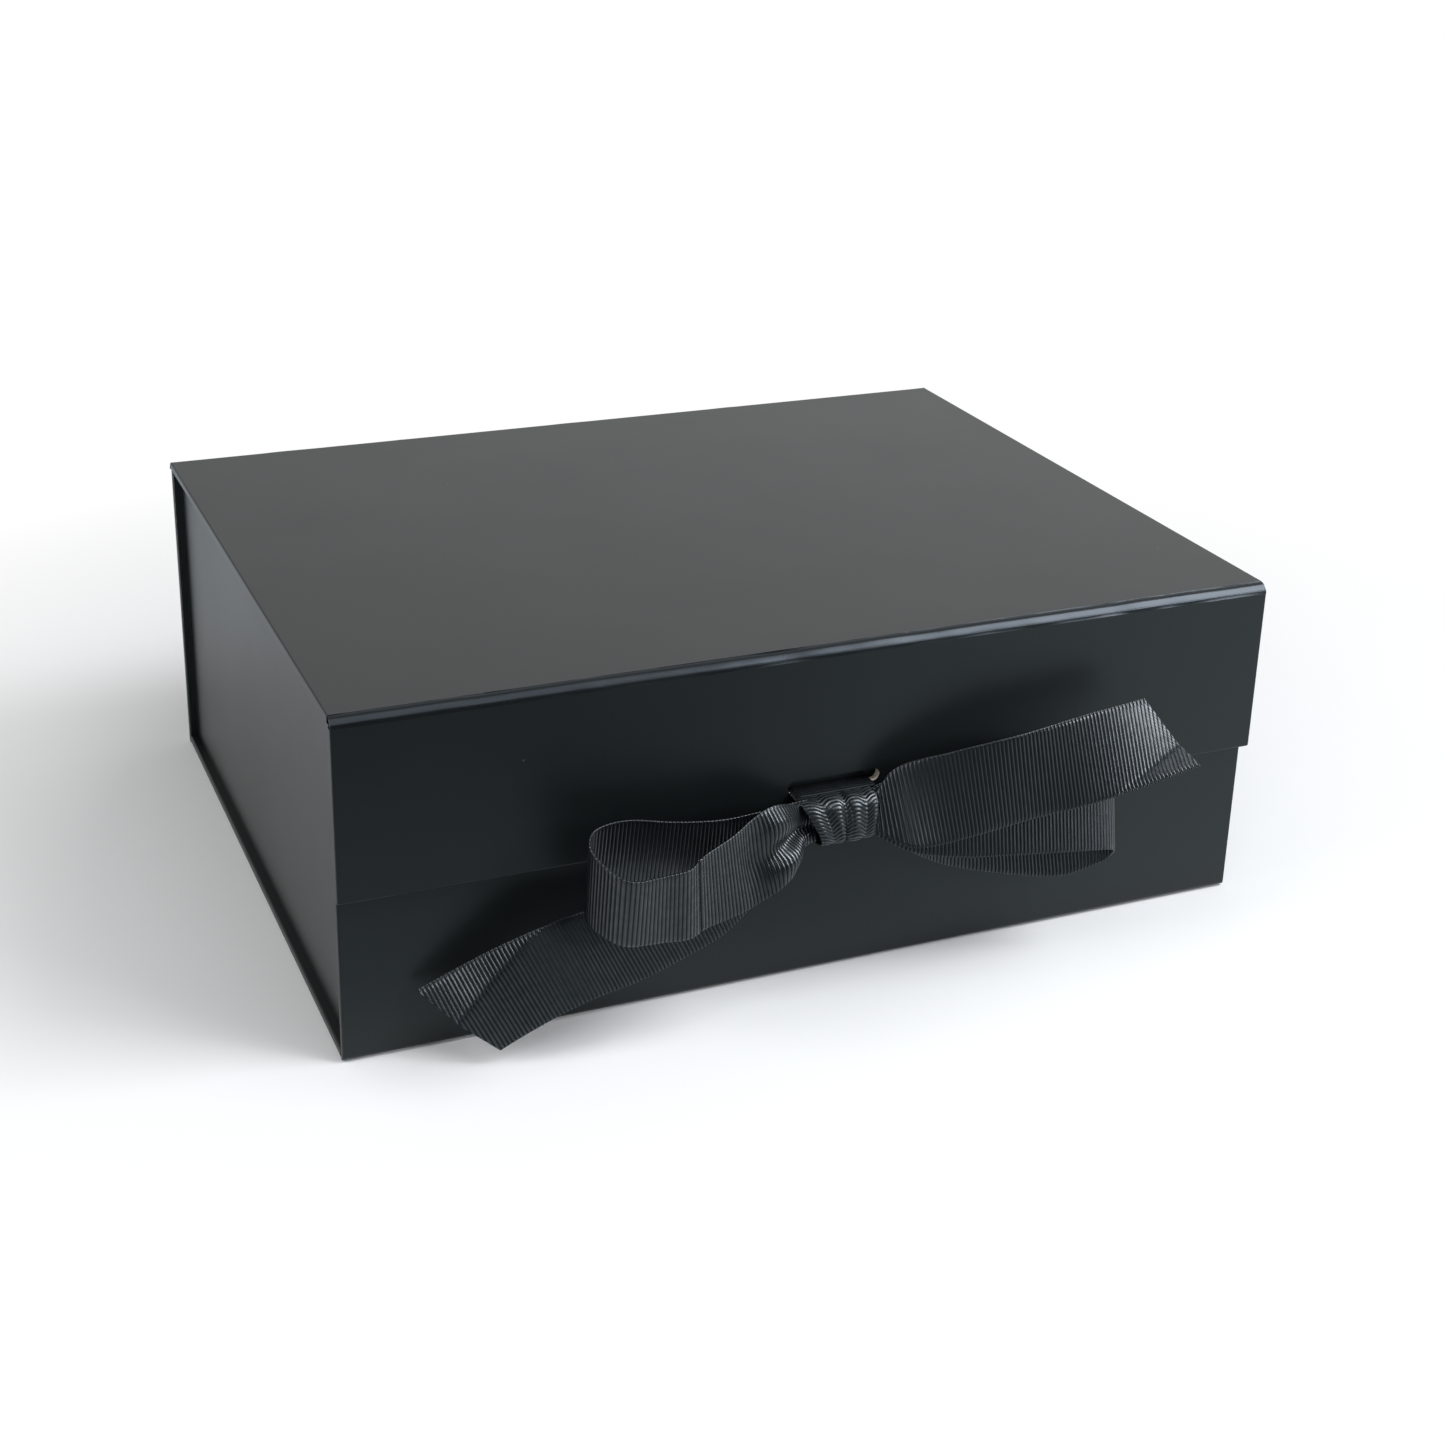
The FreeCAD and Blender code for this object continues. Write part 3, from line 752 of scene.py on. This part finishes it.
def woven(name, grid, along, across, ribs):
    """A closed ribbon mesh round a grid of points, with ribs on both sides and UV in metres."""
    lift = CORE / 2 + ribs * rib_height(along, across)
    out = face_normals(grid) * lift[..., None]
    points = np.concatenate([(grid + out).reshape(-1, 3), (grid - out).reshape(-1, 3)])
    faces = skin_faces(*along.shape)
    mesh = bpy.data.meshes.new(name)
    mesh.from_pydata(points.tolist(), [], faces.tolist())
    layer = mesh.uv_layers.new(name="weave")
    flat = np.stack([along, across], -1).reshape(-1, 2)
    layer.data.foreach_set("uv", np.concatenate([flat, flat])[faces.reshape(-1)].ravel())
    mesh.shade_smooth()
    piece = bpy.data.objects.new(name, mesh)
    bpy.context.collection.objects.link(piece)
    only(piece)
    bpy.ops.object.mode_set(mode="EDIT")
    bpy.ops.mesh.select_all(action="SELECT")
    bpy.ops.mesh.normals_make_consistent(inside=False)
    bpy.ops.object.mode_set(mode="OBJECT")
    return piece


def ribbon_piece(name, grid, along, across, flat_length, node, ribs=1.0):
    piece = woven(name, grid, along, across, ribs)
    finish_piece(piece, grosgrain, "flap")
    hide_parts(node)
    print(name, "is", round(flat_length * 1000), "mm long with", len(piece.data.polygons), "faces")


# %% [markdown]
# A loop or a tail is a strand: the grid of points along its path, which a shape function may push in or
# out, and whose end may be cut at a slant. Hills, smooth rises at one place, make its bulges and dents.

# %% Strands
ROWS_PER_RIB = 8
STEPS_PER_STATION = 80
CUT_REACH = 12 * MM
INNER_COLUMNS = np.linspace(-0.9, 0.9, 25).round(4)
COLUMNS = np.array(sorted({*INNER_COLUMNS, -1, -0.97, -0.94, 0.94, 0.97, 1}))


def strand(stations, shape=None, cut=None):
    """The grid, the lengths along and the places across of a ribbon through stations.

    shape(along, across, past) moves the surface along its normal: along and past, the length after the
    last station but one, are in millimetres, and across is a share of the half width.
    cut is the length of the lower and of the upper edge past the last station but one.
    """
    places = from_slot([station[0] for station in stations])
    standing = unit(np.array([station[1] for station in stations], float)) * (1, -1, 1)
    standing = standing * np.array([[station[2]] for station in stations]) * RIBBON_HALF
    last = len(stations) - 1
    positions = np.linspace(0, last, STEPS_PER_STATION * last + 1)
    middle = smooth_path(places, positions)
    half = smooth_path(standing, positions)
    length = lengths_along(middle)
    total = length[-1]
    along = np.linspace(0, total, int(total / RIB_PITCH * ROWS_PER_RIB))[:, None]
    along, across = np.broadcast_arrays(along, COLUMNS[None, :])
    square_end = np.interp(last - 1, positions, length)
    if cut:
        begin = square_end - CUT_REACH
        ends = square_end + (cut[0] + (cut[1] - cut[0]) * (across + 1) / 2) * MM
        slanted = begin + (along - begin) * (ends - begin) / (total - begin)
        along = np.where(along > begin, slanted, along)
    grid = np.empty((*along.shape, 3))
    for axis in range(3):
        line = np.interp(along, length, middle[:, axis])
        grid[..., axis] = line + np.interp(along, length, half[:, axis]) * across
    if shape:
        push = shape(along / MM, across, (along - square_end) / MM) * MM
        grid = grid + face_normals(grid) * push[..., None]
    return grid, along, across * RIBBON_HALF


def hill(along, across, place, height, reach):
    """A smooth rise of that height at place = (along, across), fading over reach = (along, across)."""
    far = ((along - place[0]) / reach[0]) ** 2 + ((across - place[1]) / reach[1]) ** 2
    return height * np.exp(-far)


print("a strand has", len(COLUMNS), "points across and", ROWS_PER_RIB, "rows for each rib")

# %% [markdown]
# The left loop leaves the knot in front, swings to the left and turns back behind itself. Next to the
# knot the cloth is gathered: two bulges with a valley between them, then a dent where the strand
# straightens. Further out it is pressed at one line and swings out on both sides of it.

# %% Left loop
FULL_WIDTH = 9
LEFT_LOOP = [
    ((-7.5, 5.6, -7.4), (0, -0.2, 1), 0.42),
    ((-12.5, 6.8, -7.6), (0, -0.2, 1), 0.52),
    ((-21, 12.5, -8), (-0.2, -0.15, 0.96), 0.9),
    ((-31, 16, -11.5), (-0.18, 0.05, 0.98), 1),
    ((-47.4, 21.3, -13.3), (-0.13, 0.23, 0.96), 1),
    ((-58.3, 24.5, -13.1), (-0.1, 0.31, 0.94), 1),
    ((-66.6, 23.7, -11), (-0.07, 0.33, 0.94), 1),
    ((-71, 19.6, -9.2), (-0.05, 0.25, 0.97), 1),
    ((-71.8, 15, -7.2), (-0.03, 0.2, 0.98), 1),
    ((-68.5, 10.8, -6), (0, 0.2, 0.98), 1),
    ((-60, 9, -6.2), (0, 0.2, 0.98), 1),
    ((-48, 8.6, -9), (0, 0.2, 0.98), 1),
    ((-35, 8.2, -11.5), (0, 0.12, 0.99), 1),
    ((-23, 7, -10.5), (0, 0, 1), 0.82),
    ((-12.5, 5, -7), (0, 0, 1), 0.5),
    ((-7.5, 4.4, -6.8), (0, 0, 1), 0.45),
]


def left_gathers(along, across, past):
    """The gathers beside the knot, and the pressed line with its two swings, on the front strand."""
    bulges = hill(along, across, (13, 0.5), 2.4, (6.5, 0.45))
    bulges = bulges + hill(along, across, (11.5, -0.6), 2.6, (7, 0.38))
    valley = hill(along, across, (10, -0.12), 1.8, (8, 0.22))
    valley = valley + hill(along, across, (23, 0.1), 1.6, (4, 0.9))
    crease = hill(along, across, (42, 0), 0.5, (0.5, FULL_WIDTH))
    swings = hill(along, across, (46, 0), 1.7, (4.5, FULL_WIDTH))
    swings = swings + hill(along, across, (62.5, 0), 1.5, (4.5, FULL_WIDTH))
    return valley + crease - bulges - swings


grid, along, across = strand(LEFT_LOOP, left_gathers)
ribbon_piece(
    "left_loop", grid, along, across, along.max(), "ribbon_left_loop"
)

# %% [markdown]
# The right loop is flatter: its front strand goes right, turns sharply and comes back below, so the
# opening of the loop is a thin dark lens seen from the front. It lies smooth, so it needs no hills.

# %% Right loop
RIGHT_LOOP = [
    ((2.0, 5.0, -6.8), (0, -0.1, 1), 0.42),
    ((6.5, 5.4, -7), (0, -0.1, 1), 0.45),
    ((18, 7.4, -8.6), (0, -0.2, 0.98), 0.9),
    ((32, 9.2, -10.3), (0.05, -0.28, 0.96), 1),
    ((48, 10.8, -11.7), (0.08, -0.33, 0.94), 1),
    ((65, 11.6, -13.4), (0.1, -0.35, 0.93), 1),
    ((76, 10.6, -15.4), (0.1, -0.35, 0.93), 1),
    ((79.5, 7.6, -18.6), (0.08, -0.3, 0.95), 1),
    ((76, 5.6, -22.2), (0.05, -0.3, 0.96), 1),
    ((64, 4.2, -24.4), (0, -0.32, 0.95), 1),
    ((47, 3.2, -21), (0, -0.24, 0.97), 1),
    ((31, 2.0, -16.4), (0, -0.1, 0.99), 1),
    ((17, 2.4, -10.5), (0, -0.1, 0.99), 0.8),
    ((6.5, 3, -7.6), (0, -0.1, 1), 0.4),
    ((2.0, 3, -7.4), (0, -0.1, 1), 0.38),
]
grid, along, across = strand(RIGHT_LOOP)
ribbon_piece(
    "right_loop", grid, along, across, along.max(), "ribbon_right_loop"
)

# %% [markdown]
# Each tail is a strand that ends in a slanting cut. The left tail hangs down to the left, and the upper
# corner of its end curls back. A corner could be turned by hand in edit mode, but the ribs would have
# to follow. So past a slanting line the surface is pushed out in step with its distance from that line,
# which is a plain fold, and the ribs go with it.

# %% Left tail
def past_line(past, across, first, second):
    """How far a place on the ribbon lies beyond the line from first to second, in millimetres, or 0."""
    across = across * RIBBON_HALF / MM
    run, rise = second[0] - first[0], second[1] - first[1]
    side = ((past - first[0]) * rise - (across - first[1]) * run) / math.hypot(run, rise)
    return np.maximum(side, 0)


LEFT_TAIL = [
    ((-7.5, 3, -7.5), (0, -0.1, 1), 0.36),
    ((-12.5, 3, -8), (0, -0.1, 1), 0.4),
    ((-24, 3.6, -16), (-0.3, -0.14, 0.95), 0.85),
    ((-36, 4.6, -23), (-0.4, -0.2, 0.91), 1),
    ((-47, 6.0, -27), (-0.42, -0.2, 0.89), 1),
    ((-61, 8.6, -29.8), (-0.42, -0.2, 0.88), 1),
    ((-75.5, 11.0, -31.2), (-0.4, -0.2, 0.9), 1),
    ((-90, 9.8, -37.3), (-0.43, -0.2, 0.89), 1),
    ((-108.3, 7.0, -48.1), (-0.43, -0.2, 0.89), 1),
]
LEFT_CUT = (8.8, 19.3)
LEFT_FOLD = 0.42


def left_curl(along, across, past):
    """The upper corner of the left tail bends back towards the box."""
    return LEFT_FOLD * past_line(past, across, (14, 0), (-15.5, 11.5))


grid, along, across = strand(LEFT_TAIL, left_curl, LEFT_CUT)
ribbon_piece(
    "left_tail",
    grid,
    along,
    across,
    along.max(),
    "ribbon_left_tail",
)

# %% [markdown]
# The right tail lies above the right loop and rises a little. The lower corner of its end bends
# forward. It is made in the same way as the left tail, with a line of its own.

# %% Right tail
RIGHT_TAIL = [
    ((2.0, 6.4, -7.2), (0, -0.15, 0.98), 0.4),
    ((8.6, 7.4, -7), (0, -0.35, 0.98), 0.44),
    ((15.5, 10.4, -5.2), (-0.1, -0.42, 0.99), 0.92),
    ((29, 13.8, -2.4), (-0.1, -0.26, 0.97), 1),
    ((47.5, 16.4, 1), (-0.08, -0.18, 0.96), 1),
    ((67, 17.6, 3.9), (-0.06, -0.34, 0.94), 1),
    ((94.4, 17.6, 8.0), (0.02, -0.44, 0.88), 0.9),
]
RIGHT_CUT = (27.4, 15.4)
RIGHT_FOLD = 0.35


def right_corner(along, across, past):
    """The lower corner of the right tail bends forward along a slanting line."""
    return RIGHT_FOLD * past_line(past, across, (2.4, -11.5), (23.4, -4.0))


grid, along, across = strand(RIGHT_TAIL, right_corner, RIGHT_CUT)
ribbon_piece(
    "right_tail",
    grid,
    along,
    across,
    along.max(),
    "ribbon_right_tail",
)

# %% [markdown]
# The knot is one turn of ribbon over the strands: out of the slot, over the front and under to the
# flap's lower edge, where it goes in behind itself. A turn like this lies in one upright plane, so its
# path needs only two numbers for each point: how far in front of the flap, and how far above the slot.

# %% Turn of the knot
KNOT_PATH = [(-1.6, -1.5), (0.5, -1.6), (2.8, -1.8), (5.6, -1.9), (7.6, -2.7), (8.6, -4.6), (9.1, -8.6)]
KNOT_PATH += [(8.4, -12.3), (5.6, -13.9), (3.2, -13.9), (2.2, -12.6), (2.0, -10.4)]
KNOT_STEPS = 400


def along_and_across(length, rows_per_rib, columns):
    """A grid of lengths along, in millimetres, and of places across, as shares of the half width."""
    along = np.linspace(0, length, int(length / (RIB_PITCH / MM) * rows_per_rib))
    return np.broadcast_arrays(along[:, None], np.linspace(-1, 1, columns)[None, :])


def turn_of_ribbon(line, length, along, right):
    """The points of a ribbon that follows line in front and above, at places right of the slot."""
    forward = np.interp(along, length, line[:, 0])
    above = np.interp(along, length, line[:, 1])
    return from_slot(np.stack([right, forward, above], -1))


knot_line = smooth_path(KNOT_PATH, np.linspace(0, len(KNOT_PATH) - 1, KNOT_STEPS))
knot_length = lengths_along(knot_line)
print("the knot's turn is", round(knot_length[-1], 1), "mm long")

# %% [markdown]
# Squeezed to less than its width, the knot makes pleats: a deep one near the middle, which drifts to
# the left and deepens on the way down, and a shallow one on each side. A cloth simulation could find
# them, but not the ones in the photo, so each pleat is a smooth valley at a chosen place. The ribs dip
# where the cloth is drawn into a pleat, so they run in waves.

# %% Knot
KNOT_RIBS = 1.15
KNOT_ROWS_PER_RIB = 10
KNOT_COLUMNS = 91
KNOT_CROWN = 0.4
RIB_DIP = 1.5
TAPER_START = 0.2
TAPER_LENGTH = 0.55
TOP_MIDDLE, TOP_HALF = -1.8, 10.6
MIDDLE_SHIFT, SQUEEZE = 2.2, 3.6
FRONT_COLUMN = 20
# place across, its drift on the way down, width, depth in millimetres, and how much that grows
PLEATS = [(-0.52, 0.0, 0.17, 0.35, 0.0), (0.2, -0.3, 0.11, 0.3, 1.3), (0.66, 0.0, 0.15, 0.35, 0.0)]

along, across = along_and_across(knot_length[-1], KNOT_ROWS_PER_RIB, KNOT_COLUMNS)
down = along / along.max()
taper = np.clip((down - TAPER_START) / TAPER_LENGTH, 0, 1)
taper = taper * taper * (3 - 2 * taper)
middle_x = TOP_MIDDLE + MIDDLE_SHIFT * taper
half_width = TOP_HALF - SQUEEZE * taper
over_front = np.sin(np.pi * np.clip(down, 0, 1)) ** 0.6
swell = KNOT_CROWN * (1 - across**4)
dip = np.zeros_like(across)
for place, drift, width, depth, deepening in PLEATS:
    pleat = np.exp(-(((across - (place + drift * down)) / width) ** 2))
    swell = swell - (depth + deepening * down) * pleat
    dip = dip + RIB_DIP * pleat
grid = turn_of_ribbon(knot_line, knot_length, along, middle_x + half_width * across)
out = face_normals(grid)
out = out * -np.sign(out[len(along) // 2, FRONT_COLUMN, 1])
grid = grid + out * (swell * over_front * MM)[..., None]
ribbon_piece(
    "knot",
    grid,
    (along - dip * over_front) * MM,
    across * RIBBON_HALF,
    knot_length[-1] * MM,
    "ribbon_knot",
    ribs=KNOT_RIBS,
)

# %% [markdown]
# Behind the flap the ribbon lies flat: in through the slot, down the back, forward under the lower
# edge, and up a little way under the knot. Its bends are as tight as the board's edges, so its path has
# plain corners.

# %% Band round the flap's edge
BAND_COLUMNS = 21
BAND_MIDDLE = -0.6
BAND_HALF = 11.0
BACK_GAP = 0.38
LOWER_GAP = 0.36
inside = -(flap_high.y - flap_low.y) / MM
drop = (flap_low.z - SLOT.z) / MM
behind = inside - BACK_GAP
below = drop - LOWER_GAP
BAND_PATH = [(3, -1.4), (1, -1.4), (inside + 0.6, -1.4), (inside - 0.1, -1.5), (behind, -2.0)]
BAND_PATH += [(behind, -4), (behind, drop + 2), (behind, drop - 0.1)]
BAND_PATH += [(inside + 0.1, below), (-1, below), (0.3, below), (0.8, drop - 0.1)]
BAND_PATH += [(1.0, drop + 0.6), (1.05, drop + 3.0)]
band_line = np.array(BAND_PATH, float)
band_length = lengths_along(band_line)
along, across = along_and_across(band_length[-1], ROWS_PER_RIB, BAND_COLUMNS)
ribbon_piece(
    "band",
    turn_of_ribbon(band_line, band_length, along, BAND_MIDDLE + BAND_HALF * across),
    along * MM,
    across * RIBBON_HALF,
    band_length[-1] * MM,
    "ribbon_band",
)

# %% [markdown]
# The boards, liners, tape and steel stay as the CAD made them, and only need their finishes. A node's
# name tells which one.

# %% Finishes of the CAD pieces
CAD_FINISHES = {
    "_board": board,
    "_liner": liner,
    "strike_plates": steel,
    "flap_magnets": steel,
    "corner_tapes": tape,
}
for name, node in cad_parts.items():
    for ending, material in CAD_FINISHES.items():
        if name.endswith(ending):
            node.data.materials.clear()
            node.data.materials.append(material)
            print(name, "is", material.name)

# %% [markdown]
# The box stands on a pale floor, a wide disc. Near the box it is lit by the lamps and keeps the shadow.
# It lies a little below the box, so that the two never share a plane.

# %% Floor
FLOOR_WHITE = 0.86
bpy.ops.object.select_all(action="DESELECT")
bpy.ops.mesh.primitive_circle_add(vertices=96, radius=8, fill_type="NGON", location=(0, 0, -0.0003))
floor = bpy.context.object
floor.name = "floor"
paper, tree, shader = new_material("floor paper", Roughness=0.9, Specular_IOR_Level=0.1)
shader.inputs["Base Color"].default_value = (FLOOR_WHITE, FLOOR_WHITE, FLOOR_WHITE, 1)
floor.data.materials.append(paper)
print("floor", round(floor.dimensions.x), "m across")

# %% [markdown]
# Further off the camera sees the floor as plain white, as a paper sweep looks, so it glows there. The
# film of the box mirrors the floor, and on the real one that reflection fades towards the left. So for
# mirror rays the glow is slightly blue, starts just in front of the box, and is dimmer to the front
# left. A Light Path node tells the two kinds of ray apart.

# %% Glow of the floor
MIRROR_HUE = (0.86, 0.94, 1.0)


def vector_sum(tree, operation, source, other=None):
    """The outputs of a vector math node on source, with a plain vector as its second input."""
    node = add_node(tree, "ShaderNodeVectorMath", operation=operation)
    tree.links.new(source, node.inputs[0])
    if other:
        node.inputs[1].default_value = other
    return node.outputs


rays = add_node(tree, "ShaderNodeLightPath").outputs
floor_place = coordinates(tree, "Object")
away = vector_sum(tree, "LENGTH", floor_place)["Value"]
floor_axes = add_node(tree, "ShaderNodeSeparateXYZ")
tree.links.new(floor_place, floor_axes.inputs[0])
before_box = value_range(tree, floor_axes.outputs["Y"], -0.1, -0.125, 0.0, 1.0)
around_box = value_range(tree, away, 0.2, 0.42, 0.0, 1.0)
mirror_fade = sum_of(tree, "MAXIMUM", before_box, around_box)
camera_fade = value_range(tree, away, 0.17, 0.36, 0.0, 1.0)
seen_glow = sum_of(tree, "MULTIPLY", rays["Is Camera Ray"], camera_fade)
mirror_glow = sum_of(tree, "MULTIPLY", rays["Is Glossy Ray"], mirror_fade)
sideways = vector_sum(tree, "ABSOLUTE", floor_place)[0]
beside = vector_sum(tree, "DOT_PRODUCT", sideways, (0.62, 0.0, 0.0))["Value"]
diagonal = vector_sum(tree, "DOT_PRODUCT", floor_place, (0.62, 1.0, 0.0))["Value"]
dim = value_range(tree, sum_of(tree, "ADD", beside, diagonal), -0.33, 0.02, 0.06, 1.0)
white = add_node(tree, "ShaderNodeEmission")
tree.links.new(colour_mix(tree, MIRROR_HUE, (1, 1, 1), rays["Is Camera Ray"]), white.inputs["Color"])
tree.links.new(sum_of(tree, "MAXIMUM", rays["Is Camera Ray"], dim), white.inputs["Strength"])
both = add_node(tree, "ShaderNodeMixShader")
tree.links.new(sum_of(tree, "MAXIMUM", seen_glow, mirror_glow), both.inputs[0])
tree.links.new(shader.outputs[0], both.inputs[1])
tree.links.new(white.outputs[0], both.inputs[2])
tree.links.new(both.outputs[0], tree.nodes["Material Output"].inputs["Surface"])
print("the floor glows by", len(tree.nodes), "nodes")

# %% [markdown]
# The room is a plain world background. The camera sees it white. For the rest it is a weak even light,
# except for mirror rays, which see a wall that is light behind the box and to the right, and dark
# behind the camera. That gives the lid its soft gradient.

# %% Room
ROOM_LIGHT = 0.34
world = bpy.data.worlds.new("room")
bpy.context.scene.world = world
world.use_nodes = True
tree = world.node_tree
room = tree.nodes["Background"]
room.inputs["Color"].default_value = (1, 1, 1, 1)
rays = add_node(tree, "ShaderNodeLightPath").outputs
toward = add_node(tree, "ShaderNodeSeparateXYZ")
tree.links.new(coordinates(tree, "Generated"), toward.inputs[0])
backdrop = value_range(tree, toward.outputs["Y"], -0.6, 0.6, 0.06, 0.95)
rightward = value_range(tree, toward.outputs["X"], -0.5, 0.5, 0.42, 1.02)
room_level = add_node(tree, "ShaderNodeMix", data_type="FLOAT")
room_level.inputs[2].default_value = ROOM_LIGHT
tree.links.new(rays["Is Glossy Ray"], room_level.inputs[0])
tree.links.new(sum_of(tree, "MULTIPLY", backdrop, rightward), room_level.inputs[3])
seen_room = sum_of(tree, "MAXIMUM", room_level.outputs[0], rays["Is Camera Ray"])
tree.links.new(seen_room, room.inputs["Strength"])
print("room light", ROOM_LIGHT)

# %% [markdown]
# Five soft lamps, as in a small studio. The key lamp over the front right lights the fold and the ribs
# of the bow, and leaves the front wall darker to the left. The front and the top lamp add the light
# lines on the ribs, the lamp beside the camera lifts the left side of the bow, and the left lamp lights
# the left wall.

# %% Lamps
COOL = (0.93, 0.96, 1.0)


def soft_lamp(name, place, target, size, watts, colour):
    """A rectangular area lamp at place, turned to target."""
    data = bpy.data.lights.new(name, "AREA")
    data.shape = "RECTANGLE"
    data.size, data.size_y = size
    data.energy = watts
    data.color = colour
    lamp = bpy.data.objects.new(name, data)
    lamp.location = place
    lamp.rotation_euler = (Vector(target) - Vector(place)).to_track_quat("-Z", "Y").to_euler()
    bpy.context.collection.objects.link(lamp)
    print("lamp", name, watts, "W")


soft_lamp("key", (0.75, -0.5, 0.9), (0.0, -0.1, 0.05), (0.55, 0.55), 11.0, COOL)
soft_lamp("front", (0.62, -0.85, 0.42), (0.08, -0.1, 0.05), (0.3, 0.35), 3.8, COOL)
soft_lamp("camera_side", (-0.65, -0.9, 0.36), (-0.08, -0.1, 0.03), (0.3, 0.25), 1.5, (0.9, 0.95, 1.0))
soft_lamp("top", (0.05, -0.5, 0.95), (0.0, -0.1, 0.05), (0.4, 0.4), 1.1, COOL)
soft_lamp("left", (-0.85, -0.12, 0.55), (-0.15, 0.0, 0.0), (0.4, 0.5), 3.5, (1.0, 1.0, 1.0))
